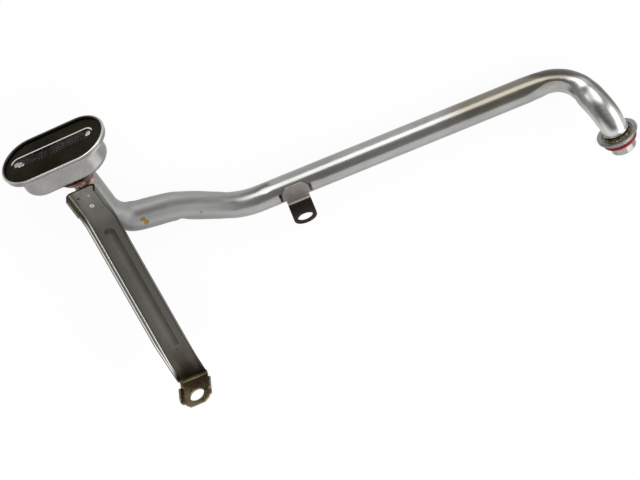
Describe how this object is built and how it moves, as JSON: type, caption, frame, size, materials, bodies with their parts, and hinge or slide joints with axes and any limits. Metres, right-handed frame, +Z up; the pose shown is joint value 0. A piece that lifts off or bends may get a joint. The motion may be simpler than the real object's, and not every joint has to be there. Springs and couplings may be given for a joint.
{
  "type": "oil pickup tube",
  "caption": "Bent steel suction tube with an O-ring flange spigot at one end, an oval inlet cup with a slotted, meshed mouth at the other, and a channel strap and a tab that bolt it down.",
  "frame": {"origin": "middle of the plain end of the pump spigot, on its axis", "axes": "+X along the long straight run towards the pump end, +Y from the pump spigot's tip towards the mouth of the cup, +Z up from the flat surface that the part rests on"},
  "size_m": [0.4302, 0.2209, 0.0618],
  "materials": {
    "tube_steel": "bright satin steel with a faint straw heat tint",
    "cup_steel": "satin drawn steel",
    "strap_steel": "grey pressed steel, darkening to brown near the foot",
    "tab_steel": "grey steel with brown heat tint",
    "dark_steel": "oil-blackened steel",
    "screen_wire": "dull steel mesh",
    "braze": "dull copper-red filler metal",
    "seal": "smooth deep red"
  },
  "bodies": {
    "root": {"suction_tube": "tube_steel", "pump_flange": "tube_steel", "flange_braze": "braze", "o_ring": "seal", "pickup_cup": "cup_steel", "neck_braze": "braze", "slotted_cover": "dark_steel", "mesh_screen": "screen_wire", "strap_bracket": "strap_steel", "tab_bracket": "tab_steel"}
  },
  "joints": []
}
